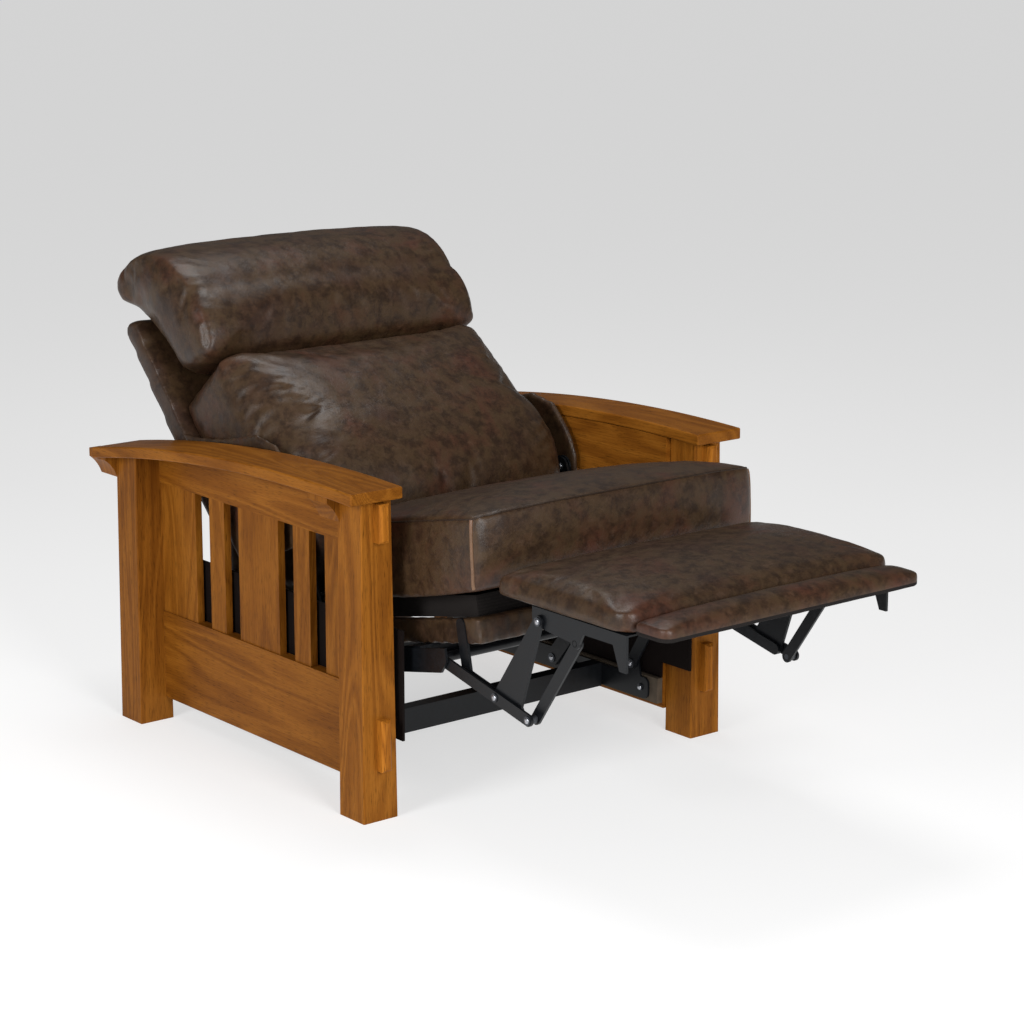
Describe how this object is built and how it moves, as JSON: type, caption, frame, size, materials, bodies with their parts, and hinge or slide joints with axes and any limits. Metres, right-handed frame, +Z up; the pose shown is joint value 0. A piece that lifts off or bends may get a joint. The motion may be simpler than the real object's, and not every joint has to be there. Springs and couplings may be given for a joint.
{
  "type": "wall hugger recliner",
  "caption": "Mission style recliner with slatted oak sides, bowed arms, leather seat and bolster back, drawn open with its folding footrest out and back down.",
  "frame": {"origin": "on the floor under the middle of the open chair's bounding box", "axes": "+X to the sitter's left, the chair faces -Y, +Z up"},
  "size_m": [0.942, 1.6631, 0.9463],
  "materials": {
    "oak": "satin stained oak",
    "cleat_wood": "plain",
    "black_steel": "satin black",
    "bare_steel": "zinc plated",
    "brown_leather": "distressed, soft sheen",
    "dark_cloth": "woven lining",
    "panel_wood": "plywood"
  },
  "bodies": {
    "side_frames": {"front_post_left": "oak", "front_post_right": "oak", "rear_post_left": "oak", "rear_post_right": "oak", "through_tenons": "oak", "bottom_rail_left": "oak", "bottom_rail_right": "oak", "upper_rail_left": "oak", "upper_rail_right": "oak", "slats_left": "oak", "slats_right": "oak", "arm_left": "oak", "arm_right": "oak", "corbels": "oak", "side_cleats": "cleat_wood", "base_plate_left": "black_steel", "base_plate_right": "black_steel", "front_cross_member": "black_steel", "rear_cross_member": "black_steel", "frame_bolts": "bare_steel", "base_pivot_studs": "bare_steel"},
    "front_swing": {"front_swing_link_left": "black_steel", "front_swing_link_right": "black_steel"},
    "rear_swing": {"rear_swing_link_left": "black_steel", "rear_swing_link_right": "black_steel"},
    "seat": {"seat_plate_left": "black_steel", "seat_plate_right": "black_steel", "seat_pivot_studs": "bare_steel", "control_brackets": "black_steel", "seat_box_front": "brown_leather", "seat_box_rear": "brown_leather", "seat_box_sides": "brown_leather", "sinuous_springs": "bare_steel", "seat_deck": "dark_cloth", "seat_cushion": "brown_leather"},
    "back": {"back_board": "brown_leather", "back_cheek_left": "brown_leather", "back_cheek_right": "brown_leather", "back_hinge_plates": "black_steel", "back_cushion": "brown_leather", "headrest_bolster": "brown_leather"},
    "footrest_drive": {"drive_link_left": "black_steel", "drive_link_right": "black_steel", "torsion_tube": "black_steel", "drive_link_studs": "bare_steel"},
    "footrest_upper": {"upper_footrest_link_left": "black_steel", "upper_footrest_link_right": "black_steel"},
    "footrest_lower": {"lower_footrest_link_left": "black_steel", "lower_footrest_link_right": "black_steel"},
    "footrest_control": {"control_link_left": "black_steel", "control_link_right": "black_steel"},
    "footrest": {"footrest_board": "panel_wood", "pad_bracket_left": "black_steel", "pad_bracket_right": "black_steel", "pad_bracket_studs": "bare_steel", "footrest_pad": "brown_leather", "flipper_hinge_fixed_leaves": "black_steel"},
    "flipper": {"flipper_board": "panel_wood", "flipper_pad": "brown_leather", "flipper_hinge_moving_leaves": "black_steel"}
  },
  "joints": [
    {"name": "recline", "type": "hinge", "parent": "side_frames", "child": "front_swing", "pos_m": [0, -0.02558, 0.12926], "axis": [-1, 0, 0], "range_deg": [0, 57.12]},
    {"name": "seat_tilt", "type": "hinge", "parent": "front_swing", "child": "seat", "pos_m": [0, -0.12022, 0.28073], "axis": [1, 0, 0], "range_deg": [0, 65.14]},
    {"name": "rear_swing_turn", "type": "hinge", "parent": "side_frames", "child": "rear_swing", "pos_m": [0, 0.22225, 0.08436], "axis": [-1, 0, 0], "range_deg": [0, 55.16]},
    {"name": "back_tilt", "type": "hinge", "parent": "seat", "child": "back", "pos_m": [0, 0.19005, 0.50001], "axis": [1, 0, 0], "range_deg": [0, 22.02]},
    {"name": "footrest_fold", "type": "hinge", "parent": "seat", "child": "footrest_drive", "pos_m": [0, -0.2485, 0.31116], "axis": [1, 0, 0], "range_deg": [0, 82]},
    {"name": "upper_link_turn", "type": "hinge", "parent": "footrest_drive", "child": "footrest_upper", "pos_m": [0, -0.40792, 0.27626], "axis": [-1, 0, 0], "range_deg": [0, 86.31]},
    {"name": "footrest_turn", "type": "hinge", "parent": "footrest_upper", "child": "footrest", "pos_m": [0, -0.51877, 0.43717], "axis": [1, 0, 0], "range_deg": [0, 86.31]},
    {"name": "lower_link_turn", "type": "hinge", "parent": "footrest_drive", "child": "footrest_lower", "pos_m": [0, -0.49916, 0.25628], "axis": [-1, 0, 0], "range_deg": [0, 86.31]},
    {"name": "control_link_turn", "type": "hinge", "parent": "seat", "child": "footrest_control", "pos_m": [0, -0.3047, 0.29571], "axis": [1, 0, 0], "range_deg": [0, 83.21]},
    {"name": "flipper_fold", "type": "hinge", "parent": "footrest", "child": "flipper", "pos_m": [0, -0.75, 0.456], "axis": [1, 0, 0], "range_deg": [0, 180.02]}
  ],
  "couplings": [
    {"joint": "seat_tilt", "follows": "recline", "ratio": 1.14},
    {"joint": "rear_swing_turn", "follows": "recline", "ratio": 0.9653},
    {"joint": "back_tilt", "follows": "recline", "ratio": 0.3852},
    {"joint": "upper_link_turn", "follows": "footrest_fold", "ratio": 1.0523},
    {"joint": "footrest_turn", "follows": "footrest_fold", "ratio": 1.0523},
    {"joint": "lower_link_turn", "follows": "footrest_fold", "ratio": 1.0523},
    {"joint": "control_link_turn", "follows": "footrest_fold", "ratio": 1.0145},
    {"joint": "flipper_fold", "follows": "footrest_fold", "ratio": 2.1951}
  ]
}
